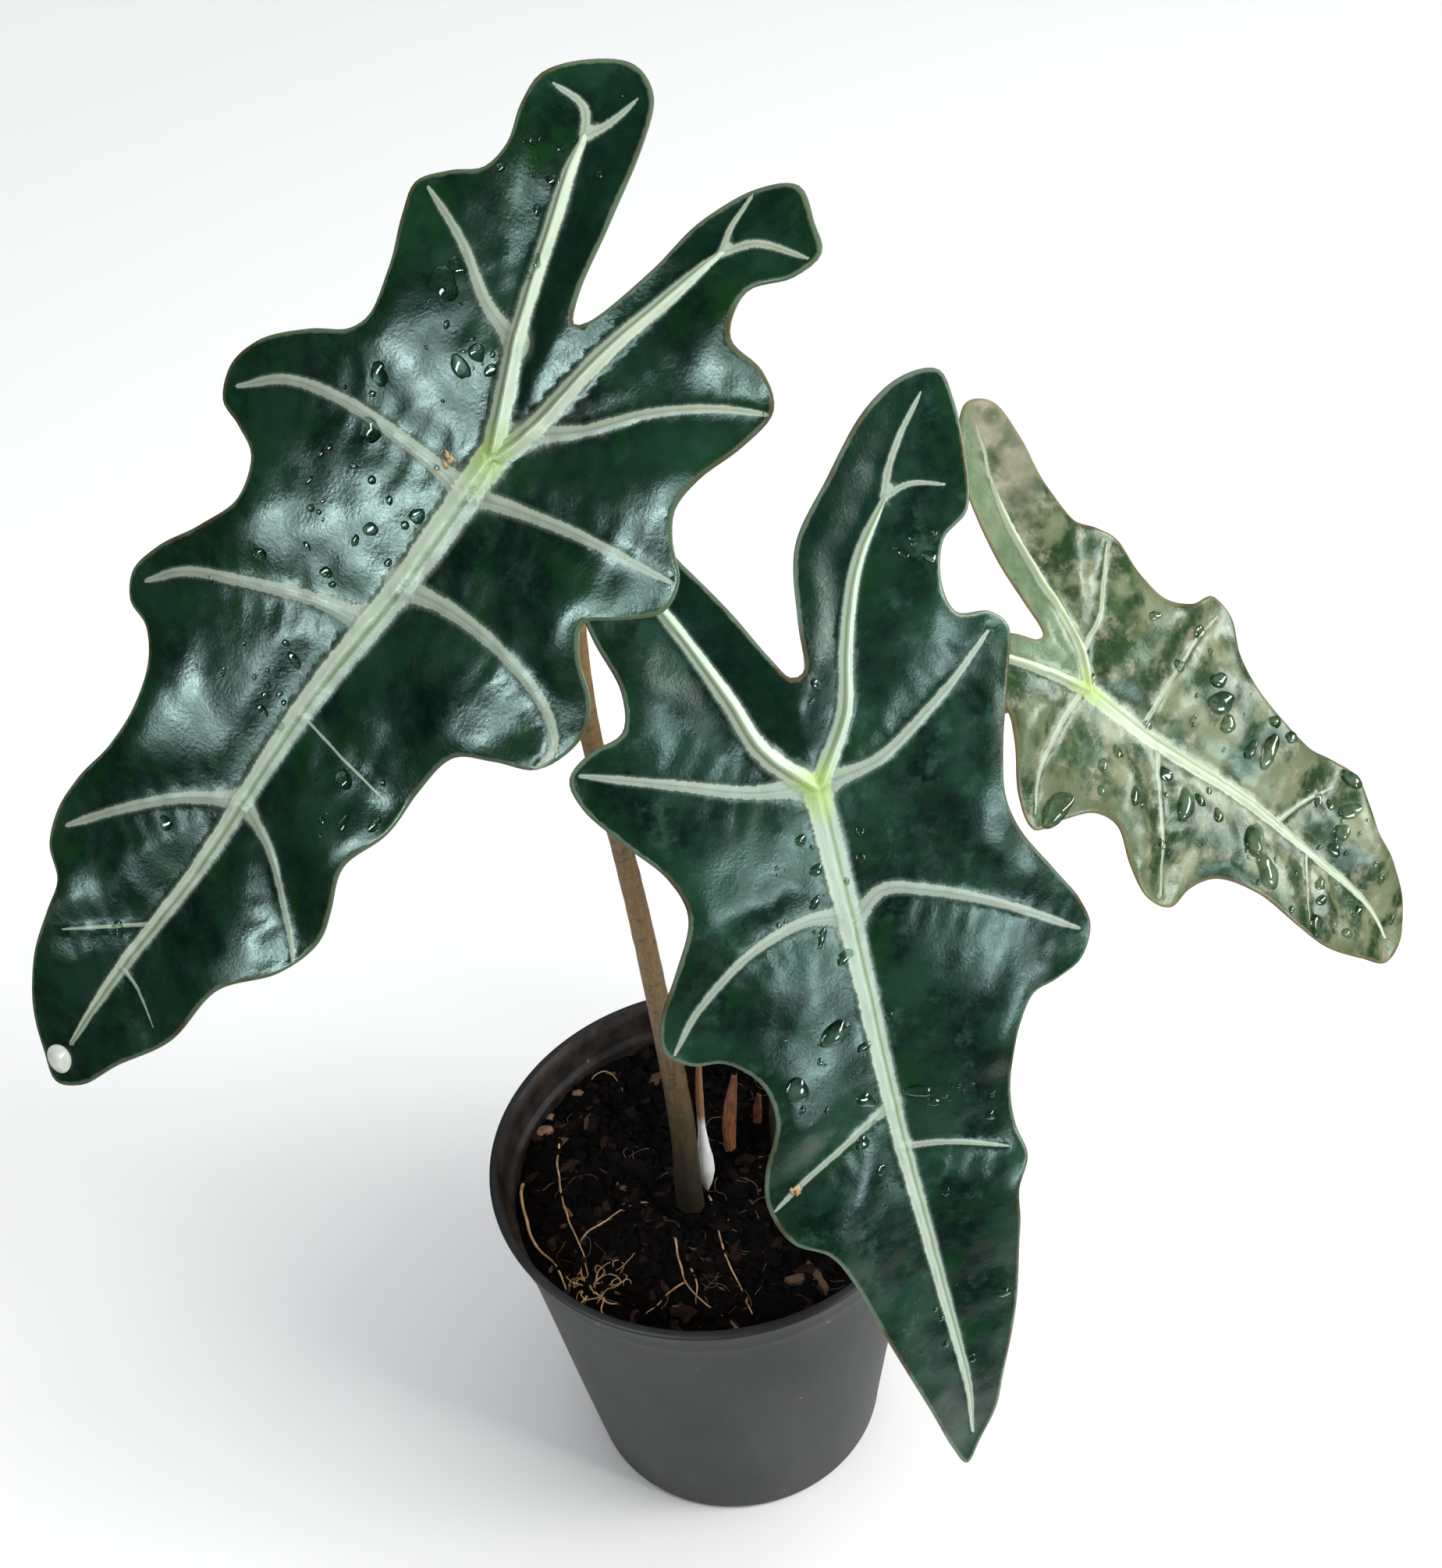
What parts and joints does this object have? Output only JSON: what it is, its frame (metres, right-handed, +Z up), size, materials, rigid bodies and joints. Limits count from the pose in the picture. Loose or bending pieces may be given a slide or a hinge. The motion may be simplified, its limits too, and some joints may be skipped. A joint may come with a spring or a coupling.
{
  "type": "potted alocasia",
  "caption": "Young alocasia with arrow-shaped lobed leaves on slender stalks, growing in a round tapered nursery pot filled with soil.",
  "frame": {"origin": "centre of the pot's base, on the surface it stands on", "axes": "+Z up; the leaves lean toward -Y, with the tallest leaf reaching toward -X"},
  "size_m": [0.3341, 0.155, 0.4095],
  "materials": {
    "pot_plastic": "dark grey moulded nursery plastic, satin with scuffs",
    "soil_earth": "damp dark brown fibrous potting mix",
    "corm_skin": "rough brown corm skin",
    "petiole_skin": "olive brown mottled leaf stalk, satin",
    "leaf_blade": "glossy blue-green leaf with pale veins and a purple underside",
    "young_leaf_blade": "glossy grey-green leaf with pale veins",
    "dry_sheath": "dry red-brown leaf sheath",
    "pale_sheath": "bleached papery leaf stalk",
    "root_skin": "dry tan root",
    "bark_chip": "bark chip"
  },
  "bodies": {
    "root": {"pot": "pot_plastic", "soil": "soil_earth", "corm": "corm_skin", "petiole_left": "petiole_skin", "petiole_front": "petiole_skin", "petiole_right": "petiole_skin", "leaf_left": "leaf_blade", "leaf_front": "leaf_blade", "leaf_right": "young_leaf_blade", "red_sheath": "dry_sheath", "back_sheath": "dry_sheath", "dry_stalk": "pale_sheath", "root_left_rim": "root_skin", "root_left": "root_skin", "root_fork": "root_skin", "root_middle": "root_skin", "root_middle_twig": "root_skin", "root_middle_fork": "root_skin", "root_right": "root_skin", "root_back": "root_skin", "root_clump": "root_skin", "chip_left": "bark_chip", "chip_middle": "bark_chip", "chip_back": "bark_chip"}
  },
  "joints": []
}
